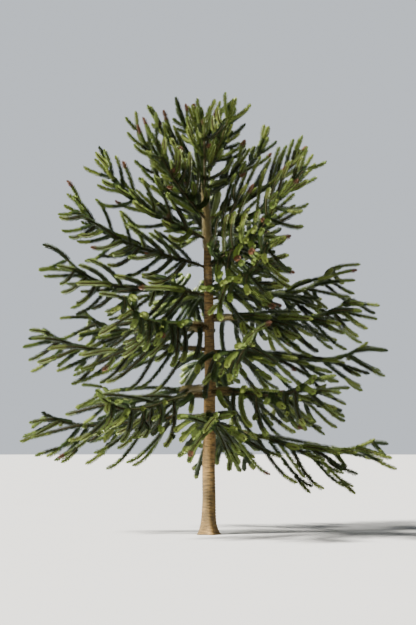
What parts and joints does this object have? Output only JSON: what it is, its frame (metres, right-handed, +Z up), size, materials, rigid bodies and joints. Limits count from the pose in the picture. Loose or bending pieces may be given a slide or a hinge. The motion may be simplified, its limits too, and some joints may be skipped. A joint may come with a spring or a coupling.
{
  "type": "monkey puzzle tree",
  "caption": "Whole young monkey puzzle tree, rooted: a straight tapering trunk, whorls of arching boughs, and leaf-clad shoots that sweep up into a broad domed crown.",
  "frame": {"origin": "middle of the flat cut under the trunk, at ground level", "axes": "+Z up along the trunk, -Y towards the tree's front, the side that the picture shows, +X to the right seen from there"},
  "size_m": [5.8081, 5.8562, 6.75],
  "materials": {
    "bark": "rough, wrinkled grey-tan bark with ring scars",
    "bough": "rough olive-brown bark with old leaf scales",
    "foliage": "stiff, slightly glossy dark green scale leaves"
  },
  "bodies": {
    "root": {"bough_1_a": "bough", "bough_1_b": "bough", "bough_1_c": "bough", "bough_1_d": "bough", "bough_2_a": "bough", "bough_2_b": "bough", "bough_2_c": "bough", "bough_2_d": "bough", "bough_3_a": "bough", "bough_3_b": "bough", "bough_3_c": "bough", "bough_3_d": "bough", "bough_4_a": "bough", "bough_4_b": "bough", "bough_4_c": "bough", "bough_4_d": "bough", "foliage_10_a": "foliage", "foliage_10_b": "foliage", "foliage_10_c": "foliage", "foliage_11_a": "foliage", "foliage_11_b": "foliage", "foliage_11_c": "foliage", "foliage_12_a": "foliage", "foliage_12_b": "foliage", "foliage_12_c": "foliage", "foliage_1_a": "foliage", "foliage_1_b": "foliage", "foliage_1_c": "foliage", "foliage_1_d": "foliage", "foliage_2_a": "foliage", "foliage_2_b": "foliage", "foliage_2_c": "foliage", "foliage_2_d": "foliage", "foliage_3_a": "foliage", "foliage_3_b": "foliage", "foliage_3_c": "foliage", "foliage_3_d": "foliage", "foliage_4_a": "foliage", "foliage_4_b": "foliage", "foliage_4_c": "foliage", "foliage_4_d": "foliage", "foliage_5_a": "foliage", "foliage_5_b": "foliage", "foliage_5_c": "foliage", "foliage_5_d": "foliage", "foliage_6_a": "foliage", "foliage_6_b": "foliage", "foliage_6_c": "foliage", "foliage_7_a": "foliage", "foliage_7_b": "foliage", "foliage_7_c": "foliage", "foliage_8_a": "foliage", "foliage_8_b": "foliage", "foliage_8_c": "foliage", "foliage_9_a": "foliage", "foliage_9_b": "foliage", "foliage_9_c": "foliage", "leader": "foliage", "trunk": "bark"}
  },
  "joints": []
}
